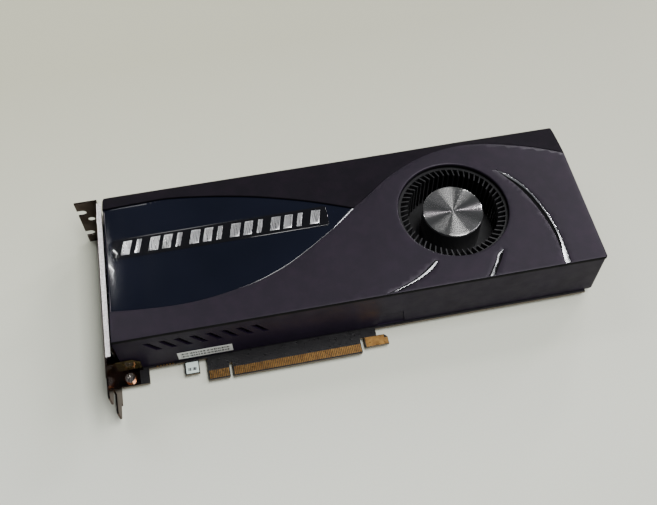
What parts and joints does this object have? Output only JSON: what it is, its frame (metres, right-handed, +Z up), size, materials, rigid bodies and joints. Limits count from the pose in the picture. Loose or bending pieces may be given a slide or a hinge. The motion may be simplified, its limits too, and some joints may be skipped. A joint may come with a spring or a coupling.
{
  "type": "graphics card",
  "caption": "Two-slot computer graphics card with a closed cooler cover, a gloss window, chrome blade trims and a radial blower that spins.",
  "frame": {"origin": "under the middle of the card's box, at the level of the surface that it lies on", "axes": "+X along the board away from the bracket, +Y from the edge connector towards the supply sockets, +Z up through the cooler, component side up"},
  "size_m": [0.2838, 0.1248, 0.0388],
  "materials": {
    "board": "dark solder resist",
    "gold_contacts": "thin gold plating",
    "bracket_steel": "dark nickel plating",
    "screw_steel": "plated",
    "socket_steel": "plated shell",
    "black_moulding": "moulded",
    "shroud_plastic": "dark purple-grey, fine metallic fleck",
    "window_plastic": "deep navy gloss",
    "nameplate_plastic": "gloss",
    "silver_marks": "satin",
    "chrome_trim": "polished",
    "impeller_plastic": "satin moulded",
    "hub_metal": "radially brushed",
    "plate_aluminium": "black anodised",
    "copper": "bare copper",
    "fin_aluminium": "mill finish",
    "chip_plastic": "moulded package",
    "silicon": "polished",
    "substrate": "green laminate",
    "pad_rubber": "soft",
    "ferrite": "pressed powder",
    "can_aluminium": "can",
    "white_moulding": "moulded",
    "magnet": "sintered",
    "bearing_bronze": "sintered",
    "winding": "enamelled copper over laminations",
    "label_paper": "printed film",
    "spring_steel": "spring temper"
  },
  "bodies": {
    "card": {"av_socket_shell": "socket_steel", "av_socket_tongue": "black_moulding", "base_plate": "plate_aluminium", "bearing_sleeve": "bearing_bronze", "blower_scroll": "black_moulding", "bracket_screws": "screw_steel", "bridge_contacts": "gold_contacts", "capacitors": "can_aluminium", "cover_screws": "screw_steel", "display_socket_shells": "socket_steel", "display_socket_tongues": "black_moulding", "edge_contacts": "gold_contacts", "fan_header": "white_moulding", "fin_stack": "fin_aluminium", "gpu_die": "silicon", "gpu_substrate": "substrate", "inductors": "ferrite", "io_bracket": "bracket_steel", "memory_chips": "chip_plastic", "motor_base": "plate_aluminium", "motor_screws": "screw_steel", "nameplate": "nameplate_plastic", "nameplate_marks": "silver_marks", "pcb": "board", "plate_screws": "screw_steel", "power_pins": "gold_contacts", "power_socket_6pin": "black_moulding", "power_socket_8pin": "black_moulding", "power_stages": "chip_plastic", "shroud": "shroud_plastic", "shroud_window": "window_plastic", "socket_bases": "black_moulding", "solder_side_parts": "chip_plastic", "spring_screws": "screw_steel", "spring_washers": "spring_steel", "stator": "winding", "tab_label": "label_paper", "thermal_pads": "pad_rubber", "trim_long": "chrome_trim", "trim_mid": "chrome_trim", "trim_short": "chrome_trim", "trim_window": "chrome_trim", "vapor_chamber": "copper", "wall_label": "label_paper"},
    "rotor": {"shaft": "screw_steel", "rotor_cup": "spring_steel", "magnet_ring": "magnet", "impeller": "impeller_plastic", "hub_disc": "hub_metal"}
  },
  "joints": [
    {"name": "fan_spin", "type": "hinge", "parent": "card", "child": "rotor", "pos_m": [0.0681, 0.0132, 0.0241], "axis": [0, 0, 1], "continuous": true}
  ]
}
